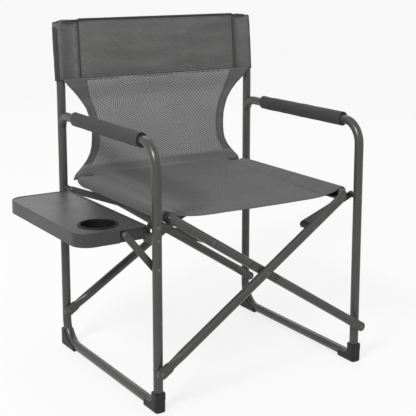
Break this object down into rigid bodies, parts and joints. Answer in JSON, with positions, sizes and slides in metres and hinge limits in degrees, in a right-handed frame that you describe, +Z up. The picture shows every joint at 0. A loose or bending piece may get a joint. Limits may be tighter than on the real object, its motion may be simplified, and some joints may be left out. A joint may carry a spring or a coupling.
{
  "type": "director chair",
  "caption": "Folding director chair with steel tube side frames, crossed seat tubes, cloth seat and back, foam armrests and a fold-down side table with a cup holder.",
  "frame": {"origin": "bottom centre of the object's bounding box, on the floor", "axes": "+Z up; +X towards the sitter's left-hand side frame, away from the side table; -Y is the chair's front"},
  "size_m": [0.7578, 0.5464, 0.8441],
  "materials": {
    "frame_metal": "satin",
    "hardware": "satin",
    "black_metal": "satin",
    "shoe_plastic": "matte",
    "foam": "matte",
    "seat_cloth": "matte",
    "back_cloth": "matte",
    "mesh_cloth": "matte",
    "table_plastic": "satin"
  },
  "bodies": {
    "right_frame": {"right_frame_tube": "frame_metal", "right_front_shoe": "shoe_plastic", "right_rear_shoe": "shoe_plastic", "right_arm_pad": "foam", "right_post_plug": "shoe_plastic", "right_pivot_bolts": "hardware", "right_pivot_washers": "shoe_plastic", "right_link_rivets": "hardware", "right_link_bush": "shoe_plastic", "back_head_panel": "back_cloth", "back_mesh_panel": "mesh_cloth"},
    "left_seat_tube_body": {"left_seat_tube": "frame_metal", "seat_fabric": "seat_cloth", "cross_rivets": "hardware", "left_tube_pins": "hardware", "left_tube_spacers": "shoe_plastic"},
    "right_seat_tube_body": {"right_seat_tube": "frame_metal", "right_tube_pins": "hardware", "right_tube_spacers": "shoe_plastic"},
    "left_frame": {"left_frame_tube": "frame_metal", "left_front_shoe": "shoe_plastic", "left_rear_shoe": "shoe_plastic", "left_arm_pad": "foam", "left_post_plug": "shoe_plastic", "left_pivot_bolts": "hardware", "left_pivot_washers": "shoe_plastic", "left_link_rivets": "hardware", "left_link_bush": "shoe_plastic", "table_rail": "black_metal", "table_rail_rivets": "hardware", "table_rail_knuckles": "black_metal", "table_hinge_pins": "hardware", "strut_stud": "hardware"},
    "right_links": {"right_front_link": "frame_metal", "right_rear_link": "frame_metal"},
    "left_links": {"left_front_link": "frame_metal", "left_rear_link": "frame_metal"},
    "side_table": {"table_tray": "table_plastic", "tray_knuckles": "table_plastic", "cup_holder": "table_plastic", "tray_bracket": "black_metal", "strut_rivet": "hardware"},
    "table_strut_body": {"table_strut": "frame_metal"}
  },
  "joints": [
    {"name": "fold", "type": "hinge", "parent": "right_frame", "child": "left_seat_tube_body", "pos_m": [0.36605, 0.00216, 0.097], "axis": [0, 1, 0], "range_deg": [0, 39.89], "deforming": ["seat_fabric", "back_head_panel", "back_mesh_panel"]},
    {"name": "cross", "type": "hinge", "parent": "left_seat_tube_body", "child": "right_seat_tube_body", "pos_m": [0.08205, 0.00216, 0.28219], "axis": [0, 1, 0], "range_deg": [-79.78, 0]},
    {"name": "left_foot", "type": "hinge", "parent": "right_seat_tube_body", "child": "left_frame", "pos_m": [-0.20195, 0.00216, 0.097], "axis": [0, 1, 0], "range_deg": [0, 39.89]},
    {"name": "right_link", "type": "hinge", "parent": "right_frame", "child": "right_links", "pos_m": [0.36405, 0.00216, 0.42642], "axis": [0, 1, 0], "range_deg": [0, 92.47]},
    {"name": "left_link", "type": "hinge", "parent": "left_frame", "child": "left_links", "pos_m": [-0.19995, 0.00216, 0.42642], "axis": [0, 1, 0], "range_deg": [-92.47, 0]},
    {"name": "table_fold", "type": "hinge", "parent": "left_frame", "child": "side_table", "pos_m": [-0.21295, 0.00216, 0.406], "axis": [0, 1, 0], "range_deg": [-90, 0]},
    {"name": "strut_fold", "type": "hinge", "parent": "side_table", "child": "table_strut_body", "pos_m": [-0.27095, -0.22864, 0.4175], "axis": [0, 1, 0], "range_deg": [0, 129.38]}
  ],
  "couplings": [
    {"joint": "cross", "follows": "fold", "ratio": -2},
    {"joint": "left_foot", "follows": "fold", "ratio": 1},
    {"joint": "right_link", "follows": "fold", "ratio": 2.3181},
    {"joint": "left_link", "follows": "fold", "ratio": -2.3181},
    {"joint": "strut_fold", "follows": "table_fold", "ratio": -1.4376}
  ]
}
